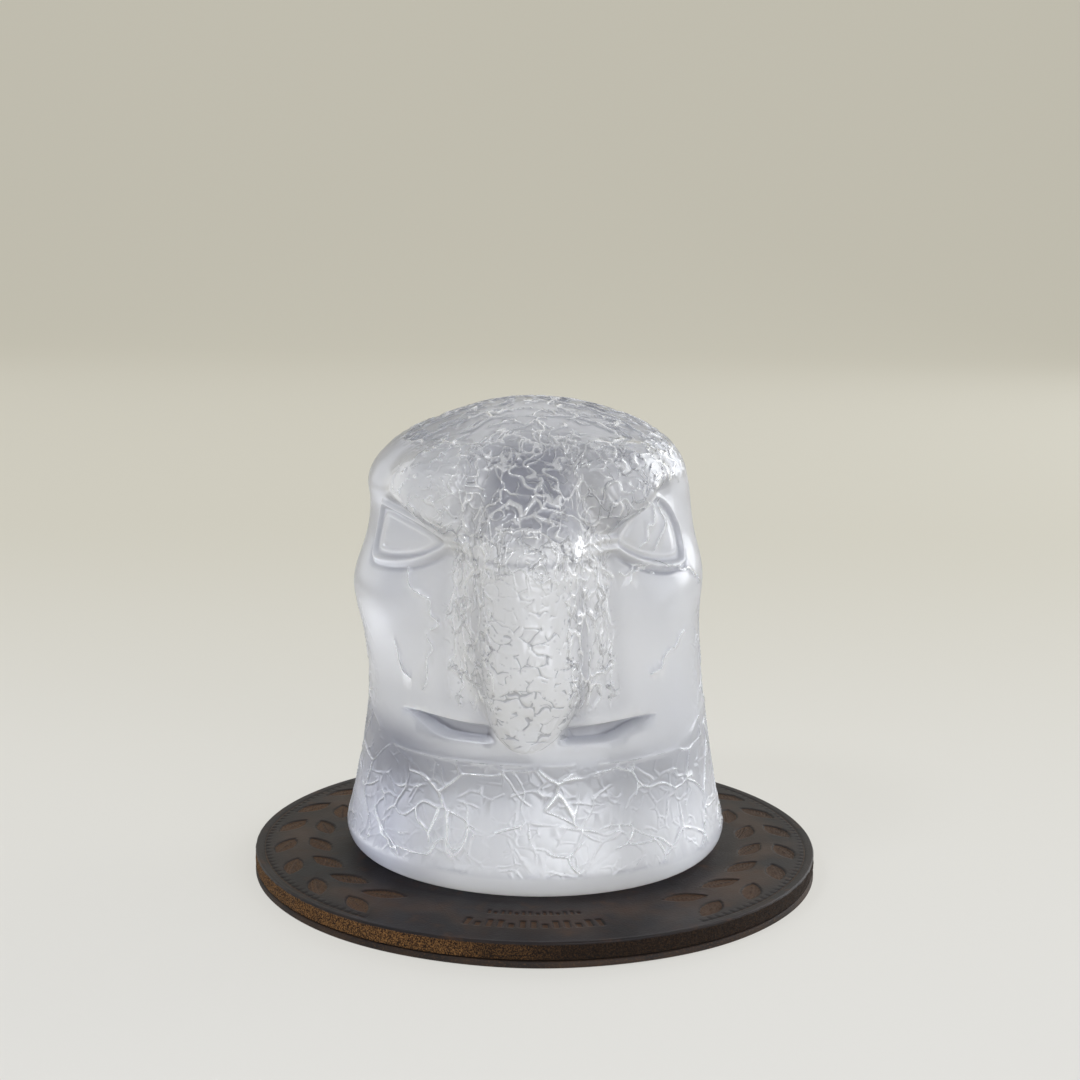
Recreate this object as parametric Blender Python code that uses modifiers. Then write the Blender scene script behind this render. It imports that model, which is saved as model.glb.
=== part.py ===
"""A solid cast-glass eagle head on a two-layer leather disc.

The head stands on the disc and can be lifted off it. Metres, +Z up, the beak
points along -Y, and the origin is the centre of the disc's underside.
"""

import math

import bmesh
import bpy
import numpy as np
from mathutils import Matrix, Vector

MM = 0.001

# Leather disc: a thick stamped top layer glued to a thin lining
DISC_RADIUS = 60.0 * MM
LINING_THICKNESS = 1.4 * MM
TOP_THICKNESS = 3.4 * MM
RIM_ROUNDING = 0.6 * MM
REST_GAP = 0.3 * MM
DISC_SIDES = 96

# Leaf spray pressed into the leather on each side of the glass
LEAF_LENGTH_PER_ROW = 1.315
LEAF_SLENDERNESS = 2.4
LEAF_POINTS = 5
STAMP_DEPTH = 0.5 * MM
LEAF_MARGIN = 2.2 * MM
LEAF_PAIRS = 7
SPRAY_START = math.radians(40)
SPRAY_STEP = math.radians(14)
LEAF_SPLAY = math.radians(24)

# Glass blank, turned: a flared foot, a slight waist and a domed crown
GLASS_HEIGHT = 96.0 * MM
FOOT_RADIUS = 40.4 * MM
SOLE_RADIUS = 36.4 * MM
FOOT_BAND = 4.8 * MM
WAIST_RADIUS = 35.2 * MM
CROWN_RADIUS = 33.5 * MM
WAIST_LEVEL = 0.40
CROWN_LEVEL = 0.795
FLARE_POWER = 1.6

# The head leans to its own right; its eyes and mouth are turned a few degrees round the axis
HEAD_LEAN = 1.7 * MM
FACE_TURN = 0.8
MOUTH_TURN = -3.0
TIP_LEVEL = 0.301

# Fineness of the carved mesh, before it is thinned out where it is smooth
COLUMNS = 168
DOME_ROWS = 26
WALL_ROWS = 96
BAND_ROWS = 4
SOLE_ROWS = 2
FRONT_CROWDING = 0.5
KEPT_SHARE = 0.175


def ramp(x, start, end):
    """0 before start, 1 after end and smooth in between."""
    t = np.clip((x - start) / (end - start), 0.0, 1.0)
    return t * t * (3.0 - 2.0 * t)


def bell(x, centre, width):
    """A smooth hump of height 1 at centre."""
    return np.exp(-(((x - centre) / width) ** 2))


def blank_radius(level):
    """Radius of the turned blank below the crown; a level is a share of the glass's height."""
    foot = FOOT_BAND / GLASS_HEIGHT
    down = np.clip((WAIST_LEVEL - level) / (WAIST_LEVEL - foot), 0.0, 1.0)
    flare = (FOOT_RADIUS - WAIST_RADIUS) * down**FLARE_POWER
    taper = (WAIST_RADIUS - CROWN_RADIUS) * ramp(level, WAIST_LEVEL, CROWN_LEVEL)
    return WAIST_RADIUS + flare - taper


def blank_profile():
    """Points (radius, height) from the top of the crown down the outside to the middle of the sole."""
    dome_height = GLASS_HEIGHT * (1.0 - CROWN_LEVEL)
    points = []
    for step in range(DOME_ROWS):
        turn = math.pi / 2 * step / DOME_ROWS
        height = GLASS_HEIGHT * CROWN_LEVEL + dome_height * math.cos(turn)
        points.append((CROWN_RADIUS * math.sin(turn), height))
    for level in np.linspace(CROWN_LEVEL, FOOT_BAND / GLASS_HEIGHT, WALL_ROWS, endpoint=False):
        points.append((float(blank_radius(level)), GLASS_HEIGHT * level))
    for step in range(BAND_ROWS + 1):
        turn = math.pi / 2 * step / BAND_ROWS
        overhang = FOOT_RADIUS - SOLE_RADIUS
        points.append((SOLE_RADIUS + overhang * math.cos(turn), FOOT_BAND * (1.0 - math.sin(turn))))
    for step in range(1, SOLE_ROWS + 1):
        points.append((SOLE_RADIUS * (1.0 - step / SOLE_ROWS), 0.0))
    return points


# The carving functions below give depth as a share of the waist's radius. side is
# degrees from the front, the same on both halves of the face, and level is a share
# of the glass's height.


def beak(side, level):
    """A rounded beak on a broader mound, from between the brows to a tip hooked over the throat."""
    middle, tip, root = 0.60, TIP_LEVEL, 0.915
    across = np.sin(np.radians(np.minimum(side, 90.0)))
    below = np.clip((middle - level) / (middle - tip), 0.0, 1.0)
    above = np.clip((level - middle) / (root - middle), 0.0, 1.0)
    mound_half = 0.449 * (1.0 - below**2.6) ** 0.75 * (1.0 - above**2) ** 0.5
    mound_section = 1.0 - ramp(across / np.maximum(mound_half, 0.003), 0.42, 1.05)
    mound = 0.135 * ramp(level, 0.90, 0.70) * ramp(level, 0.32, 0.47)

    hook = np.clip((0.43 - level) / (0.43 - tip), 0.0, 1.0)
    ridge_half = 0.256 * (1.0 - hook**2.4) ** 0.6 + 0.05 * ramp(level, 0.40, 0.60)
    ridge_share = across / np.maximum(ridge_half, 0.003)
    softness = 0.8 + 0.9 * ramp(level, 0.36, 0.56)
    ridge_section = (1.0 - np.clip(ridge_share, 0.0, 1.0) ** 2.4) ** softness
    keel = 0.278 * ramp(level, root - 0.015, 0.66) ** 0.8 * (1.0 - 0.42 * ramp(level, 0.50, tip))
    cere = 0.772 - 0.03 * np.minimum(ridge_share, 1.3) ** 2
    step = 0.014 * (1.0 - ramp(level, cere - 0.004, cere + 0.006))
    ridge = (keel - mound + step) * ridge_section
    return mound * mound_section + ridge * ramp(level, tip - 0.002, tip + 0.012)


def brow_edge(turn, side):
    """Level of the brow's lower edge: it rises to the temple and is higher on the bird's left."""
    return 0.731 + 0.072 * ramp(side, 22.0, 54.0) + 0.026 * np.sin(turn)


def brow(turn, side, level):
    """The bony brow overhangs the eye, falls away to the bridge of the beak and dies out at the temple."""
    top = 0.945 - 0.02 * ramp(side, 15.0, 62.0)
    share = (level - brow_edge(turn, side)) / (top - brow_edge(turn, side))
    bulge = ramp(share, -0.06, 0.22) * (1.0 - ramp(share, 0.50, 1.06))
    inner_end = 20.0 - 6.0 * ramp(share, 0.1, 0.7)
    from_bridge = ramp(side, inner_end, inner_end + 9.0)
    to_temple = (1.0 - 0.95 * ramp(side, 36.0, 64.0)) * (1.0 - ramp(side, 90.0, 130.0))
    return 0.122 * bulge * from_bridge * to_temple


def eye_depth(turn, side, level):
    """How far inside the eye's outline a point lies, in waist radii; negative outside.

    The bird's left eye has the rounder upper lid, its right eye the longer outline."""
    inner, outer, corner_level = 30.4, 61.5 - 3.0 * np.sin(turn), 0.713
    along = np.radians(side - inner)
    length = np.radians(outer - inner)
    share = np.clip(along / length, 0.0, 1.0)
    up = (level - corner_level) * GLASS_HEIGHT / WAIST_RADIUS
    lower_lid = -0.130 * (1.0 - (1.0 - share) ** 2.6)
    straight_lid = 0.03 + 0.165 * share**0.7
    round_lid = 0.262 * (1.0 - np.abs((share - 0.55) / 0.60) ** 2.4)
    upper_lid = np.where(turn > 0.0, round_lid, straight_lid)
    outer_bow = 0.05 * (1.0 - ((up + 0.02) / 0.16) ** 2)
    edges = (upper_lid - up, up - lower_lid, (length - along + outer_bow) * 0.85)
    sharpness = 48.0
    return -np.log(sum(np.exp(-sharpness * np.clip(edge, -1.0, 1.0)) for edge in edges)) / sharpness


def eye(turn, side, level):
    """A socket under the brow, with a narrow raised lid, the eyeball and a fine ridge round the eyeball."""
    depth = eye_depth(turn, side, level)
    edge_softness = 0.022 + 0.020 * ramp(side, 54.0, 76.0)
    under_brow = ramp(brow_edge(turn, side) - level, -edge_softness, edge_softness)
    socket = under_brow * ramp(level, 0.57, 0.70) * ramp(side, 18.0, 28.0)
    socket = socket * (1.0 - 0.5 * ramp(side, 46.0, 62.0)) * (1.0 - ramp(side, 62.0, 92.0))
    lid = bell(depth, -0.004, 0.018)
    ball = ramp(depth, 0.022, 0.11)
    ridge = bell(depth, 0.050, 0.008)
    under_lid = bell(depth, -0.046, 0.016) * ramp(level, 0.70, 0.68) * ramp(side, 26.0, 34.0)
    relief = 0.032 * lid + 0.018 * ball + 0.007 * ridge - 0.018 * under_lid
    return relief * ramp(side, 17.0, 24.0) * (1.0 - 0.4 * ramp(side, 56.0, 70.0)) - 0.034 * socket


def cheek(turn, side, level):
    """The cheek swells below the eye, a little more on the bird's right, and flattens towards the nape."""
    swell = bell(level, 0.605 + 0.012 * np.sin(turn), 0.085)
    return (0.068 - 0.009 * np.sin(turn)) * swell * ramp(side, 30.0, 56.0) * (1.0 - ramp(side, 110.0, 160.0))


def mouth(side, level):
    """The slot beside the beak on each side, tapering to the corner of the mouth."""
    upper = 0.352 + 0.010 * ramp(side, 16.0, 46.0)
    lower = 0.318 + 0.038 * ramp(side, 26.0, 46.0)
    middle, half = (upper + lower) / 2, (upper - lower) / 2
    slot = 1.0 - ramp(np.abs(level - middle) / half, 0.45, 1.25)
    return -0.10 * slot * ramp(side, 9.0, 15.0) * (1.0 - ramp(side, 36.0, 47.0))


def throat(side, level):
    """A cove below the mouth that ends on the edge of the flared base."""
    edge = 0.272 + 0.055 * ramp(side, 48.0, 80.0)
    cove = bell(level, edge + 0.026, 0.020)
    ledge = ramp(level, edge - 0.05, edge - 0.008) * (1.0 - ramp(level, edge - 0.004, edge + 0.012))
    return (0.002 * ledge - 0.002 * cove) * (1.0 - ramp(side, 50.0, 76.0))


def crown(turn, level):
    """The crown is flatter than a true dome, most of all on the bird's right."""
    rise = np.clip((level - CROWN_LEVEL) / (1.0 - CROWN_LEVEL), 0.0, 1.0)
    outward = np.sqrt(1.0 - rise**2) * np.sin(turn)
    return -0.016 * ramp(rise, 0.5, 1.0) - 0.024 * bell(outward, -0.60, 0.32) * ramp(rise, 0.05, 0.5)


def beak_turn(level):
    """Degrees that the beak's middle line is turned at each level: its hook bends with the mouth."""
    return MOUTH_TURN * (1.0 - ramp(level, TIP_LEVEL, TIP_LEVEL + 0.16))


def carving(turn, level):
    """All the carving together, in waist radii; turn is in radians from the front."""
    side = np.abs(np.degrees(turn))
    beak_side = np.abs(np.degrees(turn) - beak_turn(level))
    mouth_side = np.abs(np.degrees(turn) - MOUTH_TURN)
    eye_side = np.abs(np.degrees(turn) - FACE_TURN)
    face = beak(beak_side, level) + mouth(mouth_side, level) + throat(side, level)
    head = cheek(turn, side, level) + crown(turn, level)
    return face + brow(turn, eye_side, level) + eye(turn, eye_side, level) + head


def lean(level):
    """Sideways shift of the head above the foot, largest at the brow."""
    return -HEAD_LEAN * (ramp(level, 0.30, 0.60) + 0.3 * bell(level, 0.83, 0.05))


def turned_mesh(points, name, collection):
    """The blank's profile turned round the axis with a Screw modifier, as a plain mesh."""
    outline = bpy.data.meshes.new(name + "_outline")
    edges = [(i, i + 1) for i in range(len(points) - 1)]
    outline.from_pydata([(r, 0.0, z) for r, z in points], edges, [])
    blank = bpy.data.objects.new(name + "_blank", outline)
    collection.objects.link(blank)
    screw = blank.modifiers.new("turn", "SCREW")
    screw.steps = COLUMNS
    screw.render_steps = COLUMNS
    screw.use_merge_vertices = True
    screw.merge_threshold = 0.00002
    graph = bpy.context.evaluated_depsgraph_get()
    mesh = bpy.data.meshes.new_from_object(blank.evaluated_get(graph))
    bpy.data.objects.remove(blank)
    return mesh


def profile_normals(points):
    """Outward direction (radial, upward) at each point of the profile."""
    along = np.gradient(np.array(points), axis=0)
    outward = np.stack([-along[:, 1], along[:, 0]], axis=1)
    return outward / np.linalg.norm(outward, axis=1, keepdims=True)


def carve(mesh, points):
    """Moves the turned mesh's vertices along the blank's normals to the carved surface."""
    place = np.empty(len(mesh.vertices) * 3)
    mesh.vertices.foreach_get("co", place)
    place = place.reshape(-1, 3)
    radius = np.hypot(place[:, 0], place[:, 1])
    height = place[:, 2].copy()
    turn = np.arctan2(place[:, 0], -place[:, 1])
    turn -= FRONT_CROWDING * np.sin(turn)

    profile = np.array(points)
    gap = (radius[:, None] - profile[:, 0]) ** 2 + (height[:, None] - profile[:, 1]) ** 2
    outward = profile_normals(points)[np.argmin(gap, axis=1)]
    level = height / GLASS_HEIGHT
    band = FOOT_BAND / GLASS_HEIGHT
    depth = WAIST_RADIUS * carving(turn, level) * ramp(level, band, band + 0.03)
    radius += depth * outward[:, 0]

    place[:, 0] = radius * np.sin(turn) + lean(level)
    place[:, 1] = -radius * np.cos(turn)
    place[:, 2] = height + depth * outward[:, 1]
    mesh.vertices.foreach_set("co", place.ravel())
    mesh.update()


def material(name, colour, roughness, transmission=0.0):
    """A plain Principled finish."""
    made = bpy.data.materials.new(name)
    made.use_nodes = True
    made.diffuse_color = (*colour, 1.0)
    shader = made.node_tree.nodes["Principled BSDF"]
    shader.inputs["Base Color"].default_value = (*colour, 1.0)
    shader.inputs["Roughness"].default_value = roughness
    shader.inputs["Metallic"].default_value = 0.0
    shader.inputs["Transmission Weight"].default_value = transmission
    return made


def disc(name, bottom, thickness, finish, collection, rounding=0.0):
    """One round layer of leather, its upper rim rounded where asked."""
    mesh = bpy.data.meshes.new(name)
    shape = bmesh.new()
    bmesh.ops.create_cone(
        shape, cap_ends=True, segments=DISC_SIDES, radius1=DISC_RADIUS, radius2=DISC_RADIUS, depth=thickness
    )
    if rounding:
        rim = [edge for edge in shape.edges if all(v.co.z > 0 for v in edge.verts)]
        bmesh.ops.bevel(shape, geom=rim, offset=rounding, segments=2, affect="EDGES", profile=0.5)
    shape.to_mesh(mesh)
    shape.free()
    layer = bpy.data.objects.new(name, mesh)
    layer.location.z = bottom + thickness / 2
    mesh.materials.append(finish)
    collection.objects.link(layer)
    mesh.shade_smooth()
    mesh.set_sharp_from_angle(angle=math.radians(40))
    return layer


def leaf_rows():
    """Radius of the spray's middle line between foot and rim, and the width of one of its two rows."""
    inner_edge = FOOT_RADIUS + LEAF_MARGIN
    outer_edge = DISC_RADIUS - RIM_ROUNDING - LEAF_MARGIN
    return (inner_edge + outer_edge) / 2, (outer_edge - inner_edge) / 2


def leaf_outline():
    """Points round one pointed leaf that lies along X, sized to its row."""
    length = LEAF_LENGTH_PER_ROW * leaf_rows()[1]
    right = []
    for step in range(LEAF_POINTS + 1):
        along = step / LEAF_POINTS
        half = length / LEAF_SLENDERNESS / 2 * math.sin(math.pi * along) ** 0.8
        right.append(Vector((length * (along - 0.5), half, 0.0)))
    left = [Vector((p.x, -p.y, 0.0)) for p in reversed(right[1:-1])]
    return right + left


def leaf_places():
    """Matrix of each leaf: two rows on each side, splayed from the spray's middle line."""
    middle, row_width = leaf_rows()
    for hand in (-1, 1):
        for pair in range(LEAF_PAIRS):
            turn = hand * (SPRAY_START + pair * SPRAY_STEP)
            for row in (-1, 1):
                radius = middle + row * row_width / 2
                centre = Vector((radius * math.sin(turn), -radius * math.cos(turn), 0.0))
                heading = turn + (math.pi if hand < 0 else 0.0) + hand * row * LEAF_SPLAY
                yield Matrix.Translation(centre) @ Matrix.Rotation(heading, 4, "Z")


def leaf_stamp(leather_top, collection):
    """All the leaves as one cutter that reaches the stamp's depth into the leather."""
    clear_above = 2.0 * MM
    shape = bmesh.new()
    for place in leaf_places():
        floor = Vector((0.0, 0.0, leather_top - STAMP_DEPTH))
        ring = [shape.verts.new(place @ point + floor) for point in leaf_outline()]
        raised = bmesh.ops.extrude_face_region(shape, geom=[shape.faces.new(ring)])["geom"]
        lifted = [item for item in raised if isinstance(item, bmesh.types.BMVert)]
        bmesh.ops.translate(shape, verts=lifted, vec=(0.0, 0.0, STAMP_DEPTH + clear_above))
    bmesh.ops.recalc_face_normals(shape, faces=shape.faces)
    mesh = bpy.data.meshes.new("leaf_stamp")
    shape.to_mesh(mesh)
    shape.free()
    cutter = bpy.data.objects.new("leaf_stamp", mesh)
    cutter.hide_render = True
    cutter.display_type = "WIRE"
    collection.objects.link(cutter)
    return cutter


def leather_base(parts, cutters):
    """The two leather layers; returns the height of their top face."""
    lining = material("leather_lining", (0.10, 0.065, 0.045), 0.75)
    waxed = material("waxed_leather", (0.075, 0.055, 0.048), 0.55)
    disc("leather_base_lining", 0.0, LINING_THICKNESS, lining, parts)
    seam = LINING_THICKNESS + REST_GAP
    stamped = disc("leather_base_top", seam, TOP_THICKNESS, waxed, parts, RIM_ROUNDING)
    top = seam + TOP_THICKNESS
    cut = stamped.modifiers.new("stamp", "BOOLEAN")
    cut.operation = "DIFFERENCE"
    cut.object = leaf_stamp(top, cutters)
    return top


def glass_head(sole_height, parts, cutters):
    """The carved head, standing a hair above what carries it."""
    points = blank_profile()
    mesh = turned_mesh(points, "glass_eagle_head", cutters)
    carve(mesh, points)
    mesh.name = "glass_eagle_head"
    mesh.materials.append(material("satin_glass", (0.86, 0.87, 0.90), 0.30, transmission=1.0))
    mesh.shade_smooth()
    head = bpy.data.objects.new("glass_eagle_head", mesh)
    head.location.z = sole_height
    thin = head.modifiers.new("thin", "DECIMATE")
    thin.ratio = KEPT_SHARE
    parts.objects.link(head)


def build():
    for old in list(bpy.data.objects):
        bpy.data.objects.remove(old)
    parts = bpy.data.collections.new("glass_eagle")
    cutters = bpy.data.collections.new("cutters")
    for group in (parts, cutters):
        bpy.context.scene.collection.children.link(group)
    leather_top = leather_base(parts, cutters)
    glass_head(leather_top + REST_GAP, parts, cutters)


build()
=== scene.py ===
import math

import bpy
import numpy as np
from mathutils import Matrix, Vector


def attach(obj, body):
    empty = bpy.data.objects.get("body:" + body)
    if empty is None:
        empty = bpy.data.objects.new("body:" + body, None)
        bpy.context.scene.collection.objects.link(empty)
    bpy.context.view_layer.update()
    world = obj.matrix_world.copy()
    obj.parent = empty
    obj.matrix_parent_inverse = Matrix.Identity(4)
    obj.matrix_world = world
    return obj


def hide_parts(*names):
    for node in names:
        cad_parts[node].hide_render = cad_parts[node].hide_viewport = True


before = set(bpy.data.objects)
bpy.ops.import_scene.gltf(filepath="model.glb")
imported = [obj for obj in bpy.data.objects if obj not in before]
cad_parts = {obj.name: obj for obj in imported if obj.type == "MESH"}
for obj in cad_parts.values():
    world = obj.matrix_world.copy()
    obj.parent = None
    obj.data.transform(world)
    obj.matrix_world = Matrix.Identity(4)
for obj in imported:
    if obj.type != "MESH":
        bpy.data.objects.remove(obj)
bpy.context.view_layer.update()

MM = 0.001


# Leather lining
# A thin vegetable-tanned disc, cut with the same knife as the thick one above it and
# glued under it, flesh side down. Its cut edge is smooth and a little paler.

def ramp(x, start, end):
    """0 before start, 1 after end and smooth in between."""
    t = np.clip((x - start) / (end - start), 0.0, 1.0)
    return t * t * (3.0 - 2.0 * t)


def bell(x, centre, width):
    """A smooth hump of height 1 at centre."""
    return np.exp(-(((x - centre) / width) ** 2))


# Cells along each side of the noise, which repeats after them.
LATTICE = 32


def soft_noise(points, seed):
    """Smooth noise from 0 to 1 with features about one unit across, for an array of points."""
    table = np.random.default_rng(seed).random((LATTICE, LATTICE, LATTICE))
    cell = np.floor(points).astype(int)
    part = points - cell
    part = part * part * (3.0 - 2.0 * part)
    total = 0.0
    for corner in np.ndindex(2, 2, 2):
        share = np.prod(np.where(corner, part, 1.0 - part), axis=1)
        at = (cell + corner) % LATTICE
        total = total + share * table[at[:, 0], at[:, 1], at[:, 2]]
    return total


def turned(name, profile, columns, shape, crowding=0.0):
    """A closed mesh turned round Z from profile points (radius, height), its ends on the axis.

    shape(turn, radius, height) moves the points; crowding packs the columns towards the front."""
    profile = np.array(profile)
    turn = np.linspace(-math.pi, math.pi, columns, endpoint=False)
    turn = turn - crowding * np.sin(turn)
    inner = profile[1:-1]
    rows = len(inner)
    spread = [np.repeat(column, columns) for column in inner.T]
    radius = np.concatenate([profile[:1, 0], spread[0], profile[-1:, 0]])
    height = np.concatenate([profile[:1, 1], spread[1], profile[-1:, 1]])
    turn = np.concatenate([[0.0], np.tile(turn, rows), [0.0]])
    points = shape(turn, radius, height)

    first = 1 + np.arange(columns)
    after = 1 + (np.arange(columns) + 1) % columns
    quads = []
    for row in range(rows - 1):
        low, high = (row + 1) * columns, row * columns
        quads.append(np.stack([first + high, first + low, after + low, after + high], axis=1))
    last = (rows - 1) * columns
    top_fan = [(0, int(a), int(b)) for a, b in zip(first, after)]
    bottom_fan = [(rows * columns + 1, int(b), int(a)) for a, b in zip(first + last, after + last)]
    mesh = bpy.data.meshes.new(name)
    mesh.from_pydata(points.tolist(), [], top_fan + np.concatenate(quads).tolist() + bottom_fan)
    mesh.shade_smooth()
    return mesh


def stand(name, mesh, node):
    """Shows the mesh in place of its CAD node."""
    piece = bpy.data.objects.new(name, mesh)
    bpy.context.scene.collection.objects.link(piece)
    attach(piece, "root")
    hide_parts(node)
    return piece


class Wire:
    """A shader socket on which sums, products and other nodes can be written."""

    def __init__(self, tree, socket):
        self.tree = tree
        self.socket = socket

    def node(self, kind, settings, sockets, output=0):
        """A new node: its settings come first, then the values or links of its sockets."""
        made = self.tree.nodes.new(kind)
        for name, value in settings.items():
            setattr(made, name, value)
        for name, value in sockets.items():
            if isinstance(value, Wire):
                self.tree.links.new(value.socket, made.inputs[name])
            else:
                made.inputs[name].default_value = value
        return Wire(self.tree, made.outputs[output])

    def maths(self, operation, first, second):
        """Two numbers or wires taken together by one maths node."""
        return self.node("ShaderNodeMath", {"operation": operation}, {0: first, 1: second})

    def __add__(self, other):
        return self.maths("ADD", self, other)

    __radd__ = __add__

    def __sub__(self, other):
        return self.maths("SUBTRACT", self, other)

    def __rsub__(self, other):
        return self.maths("SUBTRACT", other, self)

    def __mul__(self, other):
        return self.maths("MULTIPLY", self, other)

    __rmul__ = __mul__

    def between(self, start, end):
        """0 below start, 1 above end and smooth in between."""
        return self.node(
            "ShaderNodeMapRange",
            {"interpolation_type": "SMOOTHSTEP"},
            {"Value": self, "From Min": start, "From Max": end},
        )

    def noise(self, size, detail=3.0, roughness=0.5):
        """Noise on these coordinates with features about size across."""
        sockets = {"Vector": self, "Scale": 1.0 / size, "Detail": detail, "Roughness": roughness}
        return self.node("ShaderNodeTexNoise", {"noise_dimensions": "3D"}, sockets)

    def cells(self, scale, feature="F1"):
        """Distance to the middle of the nearest of scale cells to the unit, or to a cell's edge."""
        sockets = {"Vector": self, "Scale": scale}
        return self.node("ShaderNodeTexVoronoi", {"feature": feature}, sockets, output="Distance")

    def axis(self, letter):
        """One coordinate of this vector."""
        return self.node("ShaderNodeSeparateXYZ", {}, {0: self}, output=letter)

    def layer(self, name):
        """The value that the mesh holds under this name."""
        return self.node("ShaderNodeAttribute", {"attribute_name": name}, {}, output="Fac")

    def tint(self, first, second):
        """A colour between two colours, by this factor."""
        sockets = {"Factor": self, 6: first, 7: second}
        return self.node("ShaderNodeMix", {"data_type": "RGBA"}, sockets, output=2)

    def bump(self, depth, normal=None):
        """A normal for this height, with 1 standing depth proud."""
        sockets = {"Height": self, "Distance": depth, "Strength": 1.0}
        if normal is not None:
            sockets["Normal"] = normal
        return self.node("ShaderNodeBump", {}, sockets)


def new_finish(name, **plain):
    """A Principled finish with these plain socket values; returns it with its position in mm."""
    finish = bpy.data.materials.new(name)
    finish.use_nodes = True
    shader = finish.node_tree.nodes["Principled BSDF"]
    for socket, value in plain.items():
        shader.inputs[socket.replace("_", " ")].default_value = value
    start = Wire(finish.node_tree, None)
    here = start.node("ShaderNodeTexCoord", {}, {}, output="Object")
    mm = start.node("ShaderNodeVectorMath", {"operation": "SCALE"}, {0: here, "Scale": 1.0 / MM})
    return finish, mm


def feed(finish, **wires):
    """Links wires to the finish's Principled sockets."""
    shader = finish.node_tree.nodes["Principled BSDF"]
    for socket, wire in wires.items():
        finish.node_tree.links.new(wire.socket, shader.inputs[socket.replace("_", " ")])


disc_radius = 60.0 * MM
lining_thickness = 1.4 * MM
lining_columns = 360
lining_wander = 0.35 * MM

lining_brown = (0.026, 0.014, 0.008, 1)
lining_black = (0.010, 0.006, 0.005, 1)
fibre_brown = (0.065, 0.034, 0.016, 1)


def lining_profile():
    """The lining's section: knife-cut edge with its two corners just rubbed off."""
    rub = 0.18 * MM
    face = [(0.0, lining_thickness)]
    face += [(disc_radius * share, lining_thickness) for share in (0.3, 0.6, 0.85, 0.95)]
    face.append((disc_radius - 2 * rub, lining_thickness))
    face.append((disc_radius - rub, lining_thickness - 0.3 * rub))
    side = [(disc_radius, lining_thickness * share) for share in (0.8, 0.6, 0.4, 0.2)]
    under = [(disc_radius - rub, 0.3 * rub), (disc_radius - 2 * rub, 0.0)]
    under += [(disc_radius * share, 0.0) for share in (0.95, 0.7, 0.4)] + [(0.0, 0.0)]
    return face + side + under


def lining_shape(turn, radius, height):
    """The edge isn't quite round where the knife wandered, and it never passes the true radius."""
    rim = ramp(radius, 0.9 * disc_radius, disc_radius)
    around = np.stack([np.cos(turn) * 3.0, np.sin(turn) * 3.0, height / (0.5 * MM)], axis=1)
    radius = radius - rim * lining_wander * soft_noise(around + 7.0, seed=3)
    return np.stack([radius * np.sin(turn), -radius * np.cos(turn), height], axis=1)


lining_mesh = turned("lining", lining_profile(), lining_columns, lining_shape)
lining_finish, mm = new_finish("leather_lining", Specular_IOR_Level=0.35)
fibre = mm.noise(0.35, detail=2.0, roughness=0.65)
mottle = mm.noise(9.0, detail=2.0)
lining_colour = mottle.between(0.35, 0.7).tint(lining_brown, lining_black)
lining_colour = fibre.between(0.5, 0.72).tint(lining_colour, fibre_brown)
lining_bump = fibre.bump(0.08 * MM)
feed(lining_finish, Base_Color=lining_colour, Roughness=0.62 + fibre * 0.25, Normal=lining_bump)
lining_mesh.materials.append(lining_finish)
stand("lining", lining_mesh, "leather_base_lining")


# Stamped leather disc
# Thick waxed pull-up leather, cut round, with its rim rubbed over. A heated plate has
# pressed a spray of leaves into it on each side of the glass, and two rows of short
# marks in front. The cut edge is raw: brown suede fibres.

leather_bottom = lining_thickness + 0.3 * MM
leather_thickness = 3.4 * MM
leather_top = leather_bottom + leather_thickness
rim_rounding = 0.6 * MM
leather_columns = 900
foot_radius = 40.4 * MM

leaf_length = 9.6 * MM
leaf_width = 4.0 * MM
leaf_margin = 2.2 * MM
leaf_pairs = 7
spray_start = math.radians(40)
spray_step = math.radians(14)
leaf_splay = math.radians(24)
rib_width = 0.22 * MM
hatch_pitch = 0.95 * MM
spray_end = spray_start + (leaf_pairs - 1) * spray_step

stamp_depth = 0.42 * MM
swell_depth = 0.12 * MM
fray_depth = 0.24 * MM

top_black = (0.011, 0.009, 0.010, 1)
top_brown = (0.020, 0.014, 0.013, 1)
handled_brown = (0.044, 0.024, 0.015, 1)
haze_brown = (0.055, 0.028, 0.016, 1)
pressed_tan = (0.080, 0.040, 0.019, 1)
outline_black = (0.006, 0.004, 0.004, 1)
raw_brown = (0.016, 0.008, 0.004, 1)
raw_tan = (0.30, 0.145, 0.048, 1)
# Painted shade for the side of the cut edge away from the light.
edge_shade_black = (0.007, 0.004, 0.003, 1)


def leather_profile():
    """Fine rows on the stamped ring and the rim, coarse ones under the glass and below."""
    rounding_start = disc_radius - rim_rounding
    points = [(0.0, leather_top)]
    points += [(radius, leather_top) for radius in np.linspace(6.0 * MM, 38.0 * MM, 9)]
    points += [(radius, leather_top) for radius in np.linspace(38.4 * MM, rounding_start, 56)]
    for angle in np.linspace(0.0, math.pi / 2, 6)[1:]:
        radius = disc_radius - rim_rounding * (1.0 - math.sin(angle))
        points.append((radius, leather_top - rim_rounding * (1.0 - math.cos(angle))))
    edge_heights = np.linspace(leather_top - rim_rounding, leather_bottom, 9)[1:-1]
    points += [(disc_radius, height) for height in edge_heights]
    under_radii = (disc_radius - 0.2 * MM, 0.9 * disc_radius, 0.5 * disc_radius)
    points += [(radius, leather_bottom) for radius in under_radii]
    return points + [(0.0, leather_bottom)]


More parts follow.
